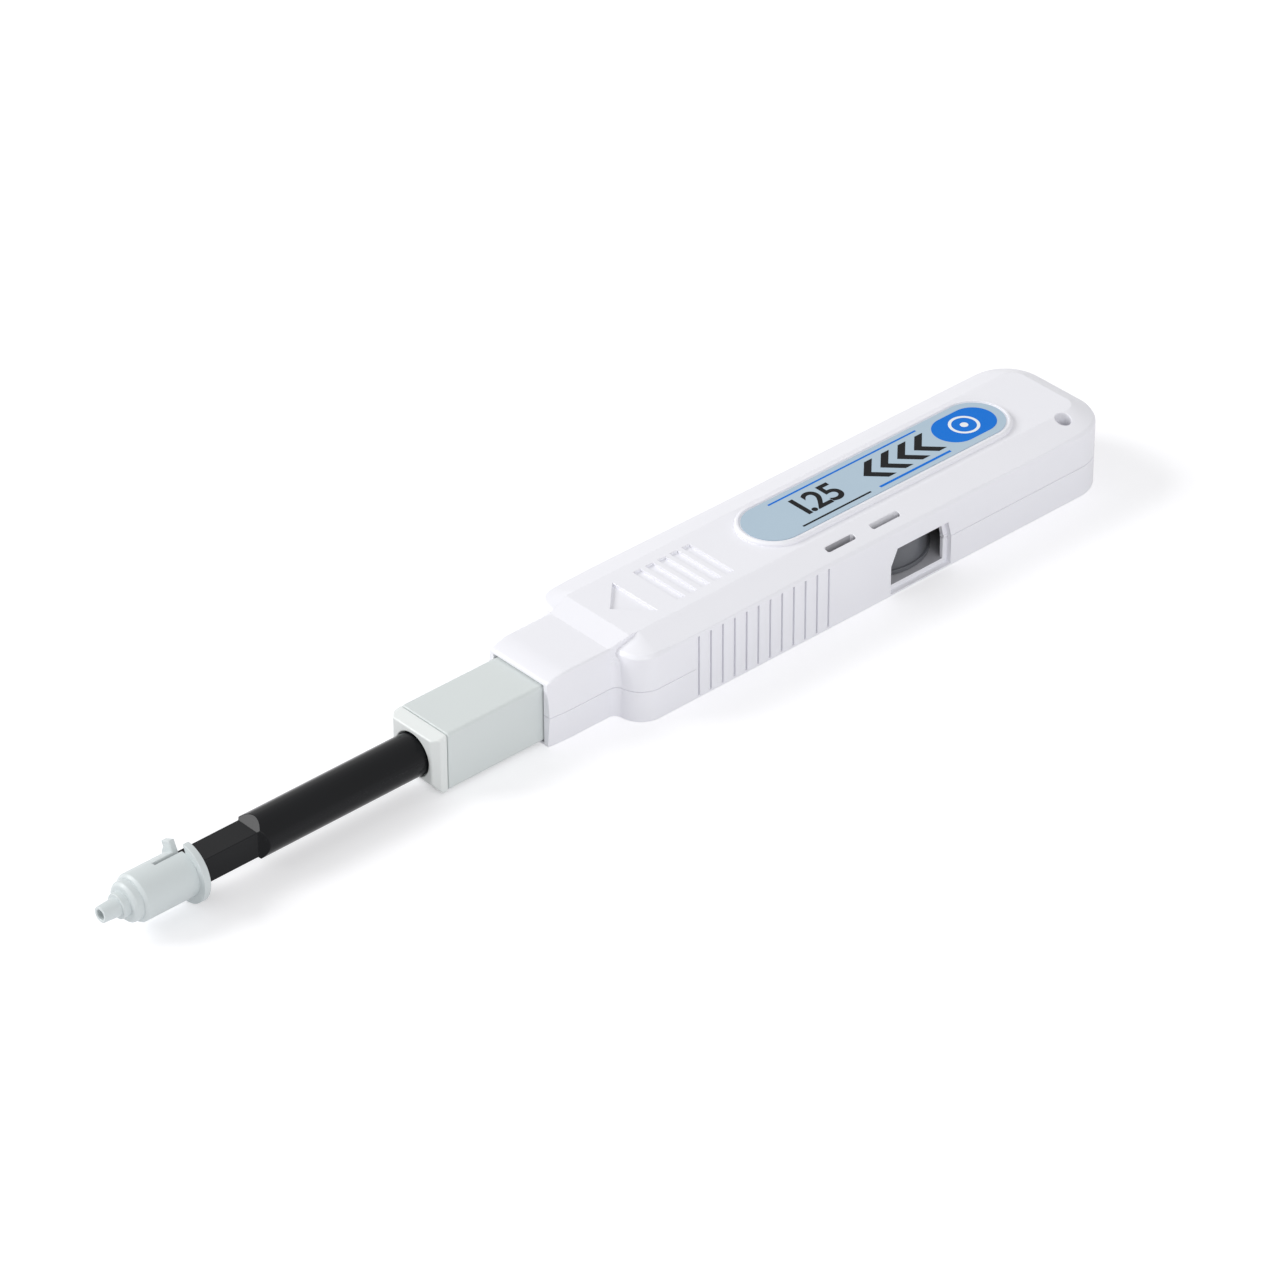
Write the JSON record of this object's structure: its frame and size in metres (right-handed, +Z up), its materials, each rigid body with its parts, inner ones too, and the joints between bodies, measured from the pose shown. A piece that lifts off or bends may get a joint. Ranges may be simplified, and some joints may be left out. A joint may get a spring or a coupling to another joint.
{
  "type": "fibre connector cleaning pen",
  "caption": "Click-action fibre connector cleaning pen: flat clam-shell case with side grips and reel window, sprung square slider, black nozzle tube and stepped guide cap.",
  "frame": {"origin": "middle of the underside of the whole pen", "axes": "+X from the nozzle to the case's rear, +Y to the far side, away from the window, +Z up through the label"},
  "size_m": [0.16, 0.02, 0.0116],
  "materials": {
    "white_plastic": "fine satin, cool white",
    "label_film": "printed film, satin",
    "grey_plastic": "satin light grey-green",
    "black_plastic": "satin black",
    "steel": "bright drawn wire",
    "natural_acetal": "natural moulded",
    "dark_plastic": "dark grey moulded",
    "thread_fibre": "wound microfibre thread"
  },
  "bodies": {
    "case": {"upper_case": "white_plastic", "lower_case": "white_plastic", "label_plate": "label_film", "cam_pin": "steel", "take_up_pin": "steel", "supply_pin": "steel", "click_spring": "natural_acetal", "drag_washer": "natural_acetal"},
    "slider": {"slider_sleeve": "grey_plastic", "slider_nose": "grey_plastic", "nozzle_tube": "black_plastic", "drive_rack": "natural_acetal", "head_spring": "steel", "return_spring": "steel"},
    "cleaning_head": {"head_shaft": "natural_acetal", "cleaning_tip": "natural_acetal", "head_thread": "thread_fibre"},
    "take_up": {"drive_gear": "natural_acetal", "take_up_reel": "dark_plastic", "take_up_thread": "thread_fibre"},
    "supply": {"supply_reel": "dark_plastic", "supply_thread": "thread_fibre"},
    "cap": {"guide_cap": "grey_plastic"}
  },
  "joints": [
    {"name": "slider_push", "type": "slide", "parent": "case", "child": "slider", "axis": [1, 0, 0], "range_m": [0, 0.012], "stiffness_N_per_m": 250, "springref_m": -0.004, "deforming": ["return_spring"]},
    {"name": "head_turn", "type": "hinge", "parent": "slider", "child": "cleaning_head", "pos_m": [0, 0, 0.00455], "axis": [1, 0, 0], "range_deg": [0, 180]},
    {"name": "take_up_turn", "type": "hinge", "parent": "case", "child": "take_up", "pos_m": [0.04495, 0, 0], "axis": [0, 0, 1], "range_deg": [-171.9, 0]},
    {"name": "supply_turn", "type": "hinge", "parent": "case", "child": "supply", "pos_m": [0.063, 0, 0], "axis": [0, 0, 1], "range_deg": [-165, 0]},
    {"name": "cap_pull", "type": "slide", "parent": "slider", "child": "cap", "axis": [-1, 0, 0], "range_m": [0, 0.014]}
  ],
  "couplings": [
    {"joint": "head_turn", "follows": "slider_push", "rad_per_m": 261.8},
    {"joint": "take_up_turn", "follows": "slider_push", "rad_per_m": -250},
    {"joint": "supply_turn", "follows": "slider_push", "rad_per_m": -239.5}
  ]
}
